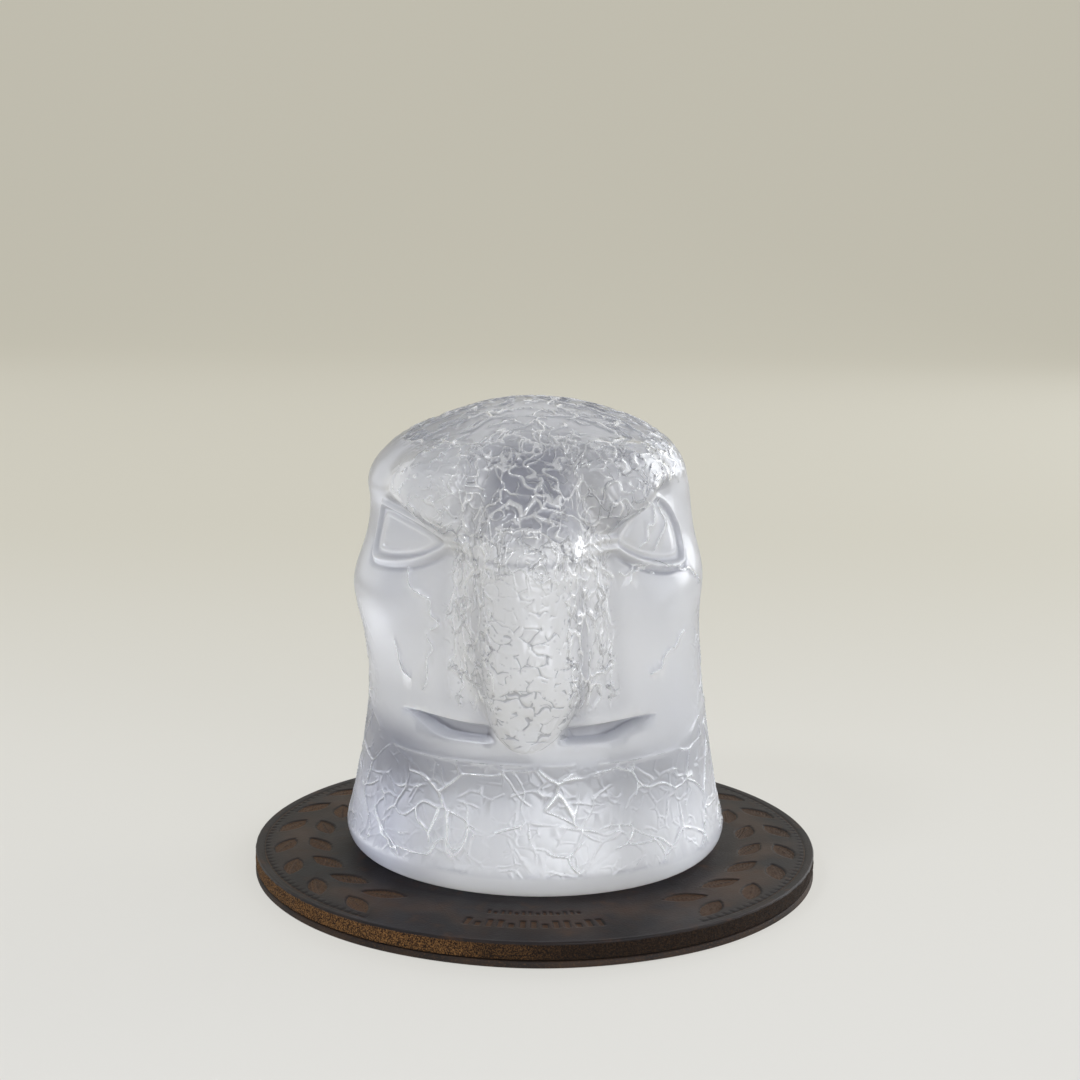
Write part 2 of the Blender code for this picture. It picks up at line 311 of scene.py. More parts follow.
def leaf_places():
    """Middle and heading of each leaf: two rows on each side, splayed from the spray's middle line."""
    inner_edge = foot_radius + leaf_margin
    outer_edge = disc_radius - rim_rounding - leaf_margin
    middle = (inner_edge + outer_edge) / 2
    row_offset = (outer_edge - inner_edge) / 4
    for hand in (-1, 1):
        for pair in range(leaf_pairs):
            turn = hand * (spray_start + pair * spray_step)
            for row in (-1, 1):
                radius = middle + row * row_offset
                heading = turn + (math.pi if hand < 0 else 0.0) + hand * row * leaf_splay
                yield radius * math.sin(turn), -radius * math.cos(turn), heading


def pressed_leaves(x, y):
    """How deep the leaves are pressed, from 0 to 1: each has a hatched floor and a raised rib."""
    pressed = np.zeros_like(x)
    for leaf_x, leaf_y, heading in leaf_places():
        along = ((x - leaf_x) * math.cos(heading) + (y - leaf_y) * math.sin(heading)) / leaf_length + 0.5
        across = -(x - leaf_x) * math.sin(heading) + (y - leaf_y) * math.cos(heading)
        near = (along > -0.05) & (along < 1.05) & (np.abs(across) < leaf_width)
        half = leaf_width / 2 * np.sin(math.pi * np.clip(along[near], 0.0, 1.0)) ** 0.8
        inside = half - np.abs(across[near])
        rib = bell(across[near], 0.0, rib_width) * ramp(along[near], 0.02, 0.1)
        rib = rib * (1.0 - ramp(along[near], 0.8, 0.97))
        slant = along[near] * leaf_length - np.abs(across[near]) * 0.9
        hatch = 0.5 + 0.5 * np.cos(slant * 2.0 * math.pi / hatch_pitch)
        floor = 0.62 + 0.38 * hatch - 0.35 * rib
        pressed[near] = np.maximum(pressed[near], ramp(inside, -0.12 * MM, 0.22 * MM) * floor)
    return pressed


def pressed_border(turn, radius):
    """A fine line that runs round the outside of each spray, with short ticks inside it."""
    border_radius = disc_radius - rim_rounding - 1.5 * MM
    ends = ramp(np.abs(turn), spray_start - 0.13, spray_start - 0.09) * (
        1.0 - ramp(np.abs(turn), spray_end + 0.09, spray_end + 0.13)
    )
    line = 1.0 - ramp(np.abs(radius - border_radius), 0.15 * MM, 0.38 * MM)
    tick_pitch, tick_length = math.radians(2.0), 1.1 * MM
    aside = np.abs(turn - np.round(turn / tick_pitch) * tick_pitch) * radius
    beyond = np.abs(radius - border_radius + tick_length / 2) - tick_length / 2
    tick = (1.0 - ramp(aside, 0.14 * MM, 0.34 * MM)) * (1.0 - ramp(beyond, -0.1 * MM, 0.2 * MM))
    return np.maximum(line, 0.8 * tick) * ends


# Radius, half span, number, length and width of the strokes in each row.
mark_rows = (
    (44.9 * MM, math.radians(11.0), 14, 1.5 * MM, 0.40 * MM),
    (50.6 * MM, math.radians(14.5), 13, 3.2 * MM, 0.70 * MM),
)


def pressed_marks(turn, radius):
    """Two rows of upright strokes, long and short by turns, pressed in front of the glass."""
    pressed = np.zeros_like(turn)
    for row_radius, span, count, length, width in mark_rows:
        pitch = 2 * span / (count - 1)
        number = np.round((turn + span) / pitch)
        in_row = (number >= 0) & (number < count)
        aside = np.abs(turn + span - number * pitch) * radius
        short = number % 3 == 1
        lift = np.where(short, 0.22, 0.0) * length
        beyond = np.abs(radius - row_radius - lift) - length * np.where(short, 0.55, 1.0) / 2
        stroke = 1.0 - ramp(aside, 0.5 * width, width)
        stroke = stroke * (1.0 - ramp(beyond, -0.1 * MM, 0.25 * MM))
        pressed = np.maximum(pressed, stroke * in_row)
    return pressed


def leather_shape(turn, radius, height):
    """Presses the design in, lets the top face swell and sink a little and frays the cut edge."""
    x, y = radius * np.sin(turn), -radius * np.cos(turn)
    place = np.stack([x, y, height], axis=1) / MM
    on_top = ramp(height, leather_top - 0.05 * MM, leather_top)
    on_top = on_top * ramp(radius, foot_radius - 2.0 * MM, foot_radius)
    on_top = on_top * (1.0 - ramp(radius, disc_radius - 1.2 * MM, disc_radius - rim_rounding))
    pressed = np.maximum(pressed_leaves(x, y), 0.75 * pressed_marks(turn, radius))
    pressed = np.maximum(pressed, 0.6 * pressed_border(turn, radius)) * on_top
    swell = (soft_noise(place / 8.0 + 3.0, seed=5) - 1.0) * swell_depth * on_top
    edge = ramp(radius, disc_radius - 0.3 * MM, disc_radius)
    edge = edge * (1.0 - ramp(height, leather_top - 0.5 * MM, leather_top))
    fray = soft_noise(place / np.array([1.3, 1.3, 0.7]), seed=8) + 0.6 * soft_noise(place * 1.6, seed=9)
    radius = radius - edge * fray_depth * fray
    height = height + swell - pressed * stamp_depth
    return np.stack([radius * np.sin(turn), -radius * np.cos(turn), height], axis=1)


def keep_layer(mesh, name, values):
    """Stores one value per point on the mesh, for its finish."""
    layer = mesh.attributes.new(name, "FLOAT", "POINT")
    layer.data.foreach_set("value", values.astype(np.float32))


leather_mesh = turned("stamped_leather", leather_profile(), leather_columns, leather_shape)
leather_points = np.empty(len(leather_mesh.vertices) * 3)
leather_mesh.vertices.foreach_get("co", leather_points)
point_x, point_y, point_z = leather_points.reshape(-1, 3).T
on_face = (point_z > leather_top - 0.65 * MM) * (np.hypot(point_x, point_y) < disc_radius - 1.0 * MM)
keep_layer(leather_mesh, "pressed", (leather_top - point_z) / stamp_depth * on_face)

leather_finish, mm = new_finish("waxed_leather", Specular_IOR_Level=0.2)
pressed_wire = mm.layer("pressed")
edge_mask = 1.0 - mm.axis("Z").between(leather_top / MM - 0.62, leather_top / MM - 0.3)
cloud = mm.noise(14.0, detail=2.0, roughness=0.55)
haze = mm.noise(4.0, detail=3.0, roughness=0.6)
grain = mm.cells(2.2)
pore = mm.noise(0.22, detail=1.0)
radius_mm = mm.node("ShaderNodeVectorMath", {"operation": "LENGTH"}, {0: mm}, output="Value")
handled = radius_mm.between(42.0, 47.0) * (1.0 - radius_mm.between(51.0, 58.0))
outline = pressed_wire.between(0.05, 0.35) * (1.0 - pressed_wire.between(0.45, 0.75))
top_colour = cloud.between(0.36, 0.64).tint(top_black, top_brown)
top_colour = (handled * cloud.between(0.36, 0.60)).tint(top_colour, handled_brown)
top_colour = haze.between(0.52, 0.80).tint(top_colour, haze_brown)
top_colour = (pressed_wire.between(0.15, 0.9) * (0.4 + cloud * 0.7)).tint(top_colour, pressed_tan)
top_colour = outline.tint(top_colour, outline_black)
fuzz = mm.noise(0.30, detail=3.0, roughness=0.75)
raw_colour = fuzz.between(0.42, 0.64).tint(raw_brown, raw_tan)
# Painted shade: the cut edge turns near black towards +X, the side away from the light.
edge_shade = (mm.axis("X") + cloud * 60.0).between(-5.0, 45.0) * 0.9
edge_colour = edge_shade.tint(raw_colour, edge_shade_black)
colour = edge_mask.tint(top_colour, edge_colour)
roughness = 0.44 + haze * 0.16 + pressed_wire * 0.10
leather_bump = (grain * 0.5 + pore * 0.35).bump(0.05 * MM)
leather_bump = (fuzz * edge_mask).bump(0.6 * MM, leather_bump)
feed(
    leather_finish,
    Base_Color=colour,
    Roughness=roughness.maths("MAXIMUM", roughness, edge_mask * 0.9),
    Normal=leather_bump,
)
leather_mesh.materials.append(leather_finish)
stand("stamped_leather", leather_mesh, "leather_base_top")


# Glass head
# One solid block of clear glass, cast against a carved mould and satin-etched. The
# crackle of the mould stands up as fine veins with rubbed, smoother crests. Light and shade
# are painted into its colour: painted highlights on the crests and lines, painted shade in
# the grooves and darker zones. It stands loose on the leather.

glass_bottom = leather_top + 0.3 * MM
glass_height = 96.0 * MM
sole_radius = 36.4 * MM
foot_band = 4.8 * MM
waist_radius = 35.2 * MM
crown_radius = 33.5 * MM
waist_level = 0.40
crown_level = 0.795
flare_power = 1.6
head_lean = 1.7 * MM
tip_level = 0.301
face_turn = 0.8
mouth_turn = -3.0

# Depths of the carving, in waist radii.
brow_bulge = 0.122
cheek_swell = 0.068
slot_depth = 0.10

glass_columns = 940
dome_rows = 160
wall_rows = 420
front_crowding = 0.55
glass_triangles = 197000

# Heights and depths of the crackle in mm; crown_settling keeps it inside the solid's top.
single_crack_height = 0.28
chin_line_height = 0.16
groove_depth = 0.26
crumple_height = 0.10
crown_settling = 0.34
full_vein_height = 0.3

# Ends of the painted light and shade on the glass, and the painted shade of its grooves, pits and the
# rims beside its lines.
painted_shade_glass = (0.27, 0.28, 0.35, 1)
glass_pale = (0.945, 0.955, 1.0, 1)
painted_shade_grey = (0.20, 0.21, 0.27, 1)


def blank_radius(level):
    """Radius of the uncarved block below the crown; a level is a share of the glass's height."""
    foot = foot_band / glass_height
    down = np.clip((waist_level - level) / (waist_level - foot), 0.0, 1.0)
    flare = (foot_radius - waist_radius) * down**flare_power
    taper = (waist_radius - crown_radius) * ramp(level, waist_level, crown_level)
    return waist_radius + flare - taper


def blank_profile():
    """The block's section from the top of the crown down the outside to the middle of the sole."""
    dome_height = glass_height * (1.0 - crown_level)
    points = []
    for step in range(dome_rows):
        angle = math.pi / 2 * step / dome_rows
        height = glass_height * crown_level + dome_height * math.cos(angle)
        points.append((crown_radius * math.sin(angle), height))
    for level in np.linspace(crown_level, foot_band / glass_height, wall_rows, endpoint=False):
        points.append((float(blank_radius(level)), glass_height * level))
    for angle in np.linspace(0.0, math.pi / 2, 15):
        overhang = foot_radius - sole_radius
        points.append((sole_radius + overhang * math.cos(angle), foot_band * (1.0 - math.sin(angle))))
    return points + [(sole_radius * share, 0.0) for share in (0.97, 0.8, 0.5, 0.2, 0.0)]


def beak(side, level):
    """A rounded beak on a broader mound, from between the brows to a tip hooked over the throat."""
    middle, tip, root = 0.60, tip_level, 0.915
    across = np.sin(np.radians(np.minimum(side, 90.0)))
    below = np.clip((middle - level) / (middle - tip), 0.0, 1.0)
    above = np.clip((level - middle) / (root - middle), 0.0, 1.0)
    mound_half = 0.449 * (1.0 - below**2.6) ** 0.75 * (1.0 - above**2) ** 0.5
    mound_section = 1.0 - ramp(across / np.maximum(mound_half, 0.003), 0.42, 1.05)
    mound = 0.135 * ramp(level, 0.90, 0.70) * ramp(level, 0.32, 0.47)

    hook = np.clip((0.43 - level) / (0.43 - tip), 0.0, 1.0)
    ridge_half = 0.256 * (1.0 - hook**2.4) ** 0.6 + 0.05 * ramp(level, 0.40, 0.60)
    ridge_share = across / np.maximum(ridge_half, 0.003)
    softness = 0.8 + 0.9 * ramp(level, 0.36, 0.56)
    ridge_section = (1.0 - np.clip(ridge_share, 0.0, 1.0) ** 2.4) ** softness
    keel = 0.278 * ramp(level, root - 0.015, 0.66) ** 0.8 * (1.0 - 0.42 * ramp(level, 0.50, tip))
    cere = 0.772 - 0.03 * np.minimum(ridge_share, 1.3) ** 2
    step = 0.014 * (1.0 - ramp(level, cere - 0.004, cere + 0.006))
    ridge = (keel - mound + step) * ridge_section
    return mound * mound_section + ridge * ramp(level, tip - 0.002, tip + 0.012)


def brow_edge(turn, side):
    """Level of the brow's lower edge: it rises to the temple and is higher on the bird's left."""
    return 0.731 + 0.072 * ramp(side, 22.0, 54.0) + 0.026 * np.sin(turn)


def brow(turn, side, level):
    """The brow overhangs the eye, falls away to the bridge of the beak and dies out at the temple."""
    top = 0.945 - 0.02 * ramp(side, 15.0, 62.0)
    share = (level - brow_edge(turn, side)) / (top - brow_edge(turn, side))
    bulge = ramp(share, -0.06, 0.22) * (1.0 - ramp(share, 0.50, 1.06))
    inner_end = 20.0 - 6.0 * ramp(share, 0.1, 0.7)
    from_bridge = ramp(side, inner_end, inner_end + 9.0)
    to_temple = (1.0 - 0.95 * ramp(side, 36.0, 64.0)) * (1.0 - ramp(side, 90.0, 130.0))
    return brow_bulge * bulge * from_bridge * to_temple


def eye_depth(turn, side, level):
    """How far inside the eye's outline a point lies, in waist radii; negative outside.

    The bird's left eye has the rounder upper lid, its right eye the longer outline."""
    inner, outer, corner_level = 30.4, 61.5 - 3.0 * np.sin(turn), 0.713
    along = np.radians(side - inner)
    length = np.radians(outer - inner)
    share = np.clip(along / length, 0.0, 1.0)
    up = (level - corner_level) * glass_height / waist_radius
    lower_lid = -0.130 * (1.0 - (1.0 - share) ** 2.6)
    straight_lid = 0.03 + 0.165 * share**0.7
    round_lid = 0.262 * (1.0 - np.abs((share - 0.55) / 0.60) ** 2.4)
    upper_lid = np.where(turn > 0.0, round_lid, straight_lid)
    outer_bow = 0.05 * (1.0 - ((up + 0.02) / 0.16) ** 2)
    edges = (upper_lid - up, up - lower_lid, (length - along + outer_bow) * 0.85)
    sharpness = 48.0
    return -np.log(sum(np.exp(-sharpness * np.clip(edge, -1.0, 1.0)) for edge in edges)) / sharpness


def eye(turn, side, level):
    """A socket under the brow, with a narrow raised lid, and the eyeball with a fine ridge round it."""
    depth = eye_depth(turn, side, level)
    edge_softness = 0.022 + 0.020 * ramp(side, 54.0, 76.0)
    under_brow = ramp(brow_edge(turn, side) - level, -edge_softness, edge_softness)
    socket = under_brow * ramp(level, 0.57, 0.70) * ramp(side, 18.0, 28.0)
    socket = socket * (1.0 - 0.5 * ramp(side, 46.0, 62.0)) * (1.0 - ramp(side, 62.0, 92.0))
    lid = bell(depth, -0.004, 0.018)
    ball = ramp(depth, 0.022, 0.11)
    ridge = bell(depth, 0.050, 0.008)
    under_lid = bell(depth, -0.046, 0.016) * ramp(level, 0.70, 0.68) * ramp(side, 26.0, 34.0)
    relief = 0.032 * lid + 0.018 * ball + 0.007 * ridge - 0.018 * under_lid
    return relief * ramp(side, 17.0, 24.0) * (1.0 - 0.4 * ramp(side, 56.0, 70.0)) - 0.034 * socket


def cheek(turn, side, level):
    """The cheek swells below the eye, a little more on the bird's right, and is flat at the nape."""
    swell = (cheek_swell - 0.009 * np.sin(turn)) * bell(level, 0.605 + 0.012 * np.sin(turn), 0.085)
    return swell * ramp(side, 30.0, 56.0) * (1.0 - ramp(side, 110.0, 160.0))


def mouth(side, level):
    """The slot beside the beak on each side, tapering to the corner of the mouth."""
    upper = 0.352 + 0.010 * ramp(side, 16.0, 46.0)
    lower = 0.318 + 0.038 * ramp(side, 26.0, 46.0)
    middle, half = (upper + lower) / 2, (upper - lower) / 2
    slot = 1.0 - ramp(np.abs(level - middle) / half, 0.45, 1.25)
    return -slot_depth * slot * ramp(side, 9.0, 15.0) * (1.0 - ramp(side, 36.0, 47.0))


def throat_edge(side):
    """Level of the edge between the throat and the flared base."""
    return 0.272 + 0.055 * ramp(side, 48.0, 80.0)


def throat(side, level):
    """A cove below the mouth that ends on the edge of the flared base."""
    edge = throat_edge(side)
    cove = bell(level, edge + 0.026, 0.020)
    ledge = ramp(level, edge - 0.05, edge - 0.008) * (1.0 - ramp(level, edge - 0.004, edge + 0.012))
    return (0.002 * ledge - 0.002 * cove) * (1.0 - ramp(side, 50.0, 76.0))


def crown(turn, level):
    """The crown is flatter than a true dome, most of all on the bird's right."""
    rise = np.clip((level - crown_level) / (1.0 - crown_level), 0.0, 1.0)
    outward = np.sqrt(1.0 - rise**2) * np.sin(turn)
    return -0.016 * ramp(rise, 0.5, 1.0) - 0.024 * bell(outward, -0.60, 0.32) * ramp(rise, 0.05, 0.5)


def beak_turn(level):
    """Degrees that the beak's middle line is turned at each level: its hook bends with the mouth."""
    return mouth_turn * (1.0 - ramp(level, tip_level, tip_level + 0.16))


def carving(turn, level):
    """All the carving together, in waist radii; turn is in radians from the front."""
    side = np.abs(np.degrees(turn))
    beak_side = np.abs(np.degrees(turn) - beak_turn(level))
    mouth_side = np.abs(np.degrees(turn) - mouth_turn)
    eye_side = np.abs(np.degrees(turn) - face_turn)
    face = beak(beak_side, level) + mouth(mouth_side, level) + throat(side, level)
    head = cheek(turn, side, level) + crown(turn, level)
    return face + brow(turn, eye_side, level) + eye(turn, eye_side, level) + head


def lean(level):
    """Sideways shift of the head above the foot, largest at the brow."""
    return -head_lean * (ramp(level, 0.30, 0.60) + 0.3 * bell(level, 0.83, 0.05))


def crack_distance(points, seed):
    """Distance from each point to the nearest wall between cells about one unit across."""
    jitter = np.random.default_rng(seed).random((LATTICE, LATTICE, LATTICE, 3))
    cell = np.floor(points).astype(int)
    offsets = [np.array(offset) - 1 for offset in np.ndindex(3, 3, 3)]

    def site(offset):
        at = cell + offset
        wrapped = at % LATTICE
        return at + jitter[wrapped[:, 0], wrapped[:, 1], wrapped[:, 2]] - points

    nearest = np.full(len(points), np.inf)
    own = np.zeros_like(points)
    for offset in offsets:
        away = site(offset)
        length = np.einsum("ij,ij->i", away, away)
        closer = length < nearest
        nearest[closer] = length[closer]
        own[closer] = away[closer]
    wall = np.full(len(points), np.inf)
    for offset in offsets:
        away = site(offset)
        across = away - own
        length = np.linalg.norm(across, axis=1)
        other = length > 1e-6
        middle = np.einsum("ij,ij->i", (away + own) / 2, across)
        wall[other] = np.minimum(wall[other], middle[other] / length[other])
    return wall


def veins(mask, place, cell, half_width, warp, seed, gaps):
    """Cords along the walls of cells of this size (x, y, z in mm), from 0 to 1, where mask isn't 0.

    half_width is in mm, warp bends the cords by so many mm and gaps says how much is missing."""
    cords = np.zeros(len(place))
    inside = mask > 0.02
    here = place[inside]
    cell = np.array(cell)
    bend = [soft_noise(here / (0.8 * cell.min()) + 11.0 * axis, seed + axis) - 0.5 for axis in range(3)]
    bent = here + 2.0 * warp * np.stack(bend, axis=1)
    wall = crack_distance(bent / cell, seed) * cell.min()
    thickness = half_width * (0.6 + 0.8 * soft_noise(here / 4.0, seed + 20))
    moat = 0.35 * bell(wall, 1.5 * thickness, 0.5 * thickness)
    cord = 1.0 - ramp(wall, 0.1 * thickness, thickness) - moat
    kept = ramp(soft_noise(here / (0.6 * cell.min()) + 2.0, seed + 30), gaps - 0.07, gaps + 0.07)
    cords[inside] = cord * kept * mask[inside]
    return cords


# The nets of veins: region, height in mm, then the cell, half width, warp, seed and gaps of veins().
vein_nets = (
    ("skirt", 0.24, (12.0, 12.0, 9.0), 0.22, 3.0, 21, 0.38),
    ("skirt", 0.17, (7.5, 7.5, 5.5), 0.19, 2.2, 61, 0.46),
    ("skirt", 0.12, (5.0, 5.0, 4.0), 0.16, 1.2, 81, 0.52),
    ("crown_top", 0.30, (14.0, 6.0, 8.0), 0.21, 2.6, 101, 0.38),
    ("crown_top", 0.25, (9.0, 3.6, 4.5), 0.19, 1.8, 141, 0.42),
    ("bridge", 0.30, (3.4, 12.0, 12.0), 0.22, 3.0, 181, 0.26),
    ("bridge", 0.24, (7.0, 5.0, 5.0), 0.20, 2.2, 191, 0.36),
    ("right_brow", 0.26, (4.2, 4.2, 2.6), 0.28, 1.4, 221, 0.30),
    ("left_brow", 0.24, (5.0, 5.0, 3.0), 0.20, 1.8, 241, 0.34),
    ("flank", 0.26, (2.6, 2.6, 9.0), 0.22, 1.0, 301, 0.26),
)
groove_net = ((3.8, 14.0, 2.3), 0.13, 1.0, 261, 0.44)

# Middle lines of the single cracks and creases, as (degrees from the front, level) points.
single_lines = (
    ((51.2, 0.800), (45.4, 0.739), (41.3, 0.702)),
    ((52.4, 0.799), (54.2, 0.752), (47.3, 0.698)),
    ((31.6, 0.660), (40.9, 0.668), (46.6, 0.657)),
    ((40.9, 0.668), (35.4, 0.645)),
    ((46.2, 0.679), (54.2, 0.666), (66.5, 0.639), (76.0, 0.600)),
    (
        (-18.3, 0.736), (-15.7, 0.785), (-8.0, 0.825), (0.0, 0.826),
        (14.1, 0.779), (21.2, 0.723), (28.2, 0.653),
    ),
    ((-12.6, 0.725), (-8.3, 0.759), (-1.0, 0.769), (5.0, 0.748), (9.5, 0.705)),
    ((-47.2, 0.655), (-44.0, 0.630), (-35.9, 0.598), (-32.5, 0.560), (-34.5, 0.487), (-38.2, 0.405)),
    ((-50.5, 0.504), (-48.2, 0.450), (-44.0, 0.425)),
    ((60.8, 0.515), (50.9, 0.475), (42.7, 0.437)),
    ((-58.0, 0.140), (-53.0, 0.107), (-45.2, 0.072), (-31.6, 0.071), (-27.3, 0.110)),
)


def single_cracks(turn, level, place):
    """Cords along the single lines, a little crooked, from 0 to 1."""
    x = turn * waist_radius / MM + 2.6 * (soft_noise(place / 2.4, 401) - 0.5)
    y = level * glass_height / MM + 1.8 * (soft_noise(place / 1.7, 404) - 0.5)
    cords = np.zeros(len(place))
    for line in single_lines:
        corners = [(math.radians(side) * waist_radius / MM, at * glass_height / MM) for side, at in line]
        for (x1, y1), (x2, y2) in zip(corners, corners[1:]):
            length = math.hypot(x2 - x1, y2 - y1)
            share = np.clip(((x - x1) * (x2 - x1) + (y - y1) * (y2 - y1)) / length**2, 0.0, 1.0)
            away = np.hypot(x - x1 - share * (x2 - x1), y - y1 - share * (y2 - y1))
            cords = np.maximum(cords, 1.0 - ramp(away, 0.06, 0.32))
    return cords * ramp(soft_noise(place / 1.5, 402), 0.08, 0.26)


def regions(turn, level):
    """Where each kind of crackle lies on the head, from 0 to 1."""
    side = np.abs(np.degrees(turn))
    right = ramp(np.degrees(turn), -12.0, 12.0)
    skirt = 1.0 - ramp(level, throat_edge(side) - 0.012, throat_edge(side) + 0.004)
    skirt = np.maximum(skirt, ramp(side, 62.0, 78.0) * (1.0 - ramp(level, 0.50, 0.60)))
    skirt = np.maximum(skirt, ramp(side, 92.0, 118.0) * (1.0 - ramp(level, 0.84, 0.90)))
    bridge = (1.0 - ramp(side, 19.0, 25.0)) * ramp(level, 0.63, 0.69)
    bridge = bridge * (1.0 - ramp(level, 0.93, 0.97))
    fade_in = 0.008 + 0.04 * ramp(side, 50.0, 72.0)
    edge = brow_edge(turn, side)
    brow_face = ramp(level, edge - 0.006, edge + fade_in) * (1.0 - ramp(level, 0.90, 0.94))
    brow_face = brow_face * ramp(side, 18.0, 25.0)
    beak_front = (1.0 - ramp(side, 11.0, 15.0)) * ramp(level, 0.31, 0.33)
    beak_front = beak_front * (1.0 - ramp(level, 0.74, 0.80))
    flank = ramp(side, 7.5, 11.0) * (1.0 - ramp(side, 25.0, 31.0))
    flank = flank * ramp(level, 0.36, 0.42) * (1.0 - ramp(level, 0.74, 0.78))
    return {
        "skirt": skirt * ramp(level, 0.046, 0.06),
        "crown_top": ramp(level, 0.885, 0.925),
        "bridge": bridge,
        "right_brow": brow_face * right * (1.0 - ramp(side, 68.0, 92.0)),
        "left_brow": brow_face * (1.0 - right) * (1.0 - ramp(side, 44.0, 60.0)),
        "beak_front": beak_front,
        "flank": flank,
    }


def painted_shading(turn, level):
    """Painted light and shade in the glass's colour, from 0, painted shade in the hollow of the bridge,
    to 1, painted light on the beak's front.

    Each zone in the list is laid over those before it."""
    side = np.abs(np.degrees(turn))
    right = ramp(np.degrees(turn), -14.0, 14.0)
    on = regions(turn, level)
    cheeks = ramp(side, 24.0, 36.0) * (1.0 - ramp(side, 80.0, 104.0))
    cheeks = cheeks * (1.0 - ramp(level, 0.62, 0.70))
    chin = 1.0 - ramp(level, 0.36, 0.40)
    above_skirt = ramp(level, throat_edge(side) - 0.012, throat_edge(side) + 0.022)
    hollow_shade = (1.0 - ramp(side, 8.0, 19.0)) * ramp(level, 0.74, 0.80)
    hollow_shade = hollow_shade * (1.0 - ramp(level, 0.89, 0.94))
    mouth_side = np.abs(np.degrees(turn) - mouth_turn)
    slot = np.clip(-mouth(mouth_side, level) / slot_depth, 0.0, 1.0)
    beak_side = np.abs(np.degrees(turn) - beak_turn(level))
    beak_crease_shade = bell(beak_side, 15.0, 3.5) * ramp(level, 0.31, 0.36)
    beak_crease_shade = beak_crease_shade * (1.0 - ramp(level, 0.60, 0.72))
    brow_top_shade = bell(level, 0.915, 0.02) * ramp(side, 14.0, 20.0) * (1.0 - ramp(side, 50.0, 62.0))
    left_skirt_shade = ramp(-np.degrees(turn), 18.0, 52.0) * (1.0 - ramp(side, 90.0, 130.0))
    left_skirt_shade = left_skirt_shade * (1.0 - ramp(level, 0.28, 0.36))
    temple = bell(side, 88.0, 16.0) * ramp(level, 0.30, 0.55)
    depth = eye_depth(turn, np.abs(np.degrees(turn) - face_turn), level)
    under_lid = bell(depth, -0.048, 0.016) * (1.0 - ramp(level, 0.69, 0.74))
    eyeball = ramp(depth, 0.0, 0.03)
    eyeball_groove = bell(depth, 0.022, 0.010)
    eyeball_ridge = bell(depth, 0.050, 0.009)
    lid = bell(depth, -0.006, 0.014)
    pillow_highlight = on["left_brow"] * bell(level - brow_edge(turn, side), 0.035, 0.022)
    dimple_shade = bell(np.degrees(turn), -52.0, 8.0) * bell(level, 0.56, 0.04)
    foot_line = bell(level, 0.054, 0.004)
    # Painted light: the base tone is brighter towards the bottom of the skirt.
    pale = 0.60 + 0.40 * (1.0 - ramp(level, 0.06, 0.22))
    # Painted highlights on the cheeks (brighter on one side), chin, beak's front and flanks, a pillow
    # under one brow, the lids and the ridge round each eyeball; painted shade on the crown, brows,
    # bridge and its hollow, temples, one side of the skirt, a dimple on one cheek, the creases beside
    # the beak, the mouth slots, under the lids, on and round the eyeballs and in a line above the foot.
    for mask, paleness in (
        (cheeks * above_skirt, 0.93 + 0.07 * right),
        (chin * above_skirt, 1.0),
        (dimple_shade, 0.80),
        (left_skirt_shade, 0.0),
        (temple, 0.45),
        (on["flank"], 1.0 - 0.10 * right),
        (on["beak_front"], 1.0),
        (ramp(level, 0.82, 0.92), 0.44),
        (on["left_brow"], 0.82),
        (pillow_highlight, 1.0),
        (on["right_brow"], 0.52),
        (brow_top_shade, 0.45),
        (on["bridge"] * ramp(level, 0.70, 0.75), 0.46),
        (hollow_shade, 0.0),
        (beak_crease_shade, 0.55 - 0.17 * right),
        (slot, 0.12),
        (under_lid, 0.45 - 0.2 * right),
        (eyeball, 0.74),
        (eyeball_groove, 0.40),
        (eyeball_ridge, 1.0),
        (lid, 1.0),
        (foot_line, 0.45),
    ):
        pale = pale + (paleness - pale) * mask
    return pale


def crackle(turn, level, place):
    """Height in mm of the veins and cracks on the carved surface, and of its crumpled skin."""
    on = regions(turn, level)
    cords = [tallness * veins(on[region], place, *net) for region, tallness, *net in vein_nets]
    cords.append(single_crack_height * single_cracks(turn, level, place))
    raised = np.maximum(np.max(cords, axis=0), 0.0)
    sunk = np.minimum(np.min(cords, axis=0), 0.0)

    lower_half = 1.0 - 0.45 * ramp(level, 0.50, 0.62)
    grooves = veins(on["beak_front"] * lower_half, place, *groove_net)
    edge = throat_edge(np.abs(np.degrees(turn)))
    chin_line = bell(level, edge + 0.002, 0.0035) * ramp(soft_noise(place / 5.0, 403), 0.2, 0.5)
    cracks = np.where(raised > 0.0, raised, sunk) + chin_line_height * chin_line - groove_depth * grooves

    rough = np.maximum(np.maximum(0.3 * on["bridge"], 2.0 * on["right_brow"]), 0.8 * on["beak_front"])
    inside = rough > 0.02
    crumple = np.zeros(len(place))
    crumple[inside] = rough[inside] * soft_noise(place[inside] / 2.3, 13)
    return cracks, crumple_height * crumple


# The regions that the finish needs too, and the values per point that glass_shape keeps for it.
lined_regions = ("bridge", "right_brow", "left_brow", "beak_front", "flank")
glass_layers = {}


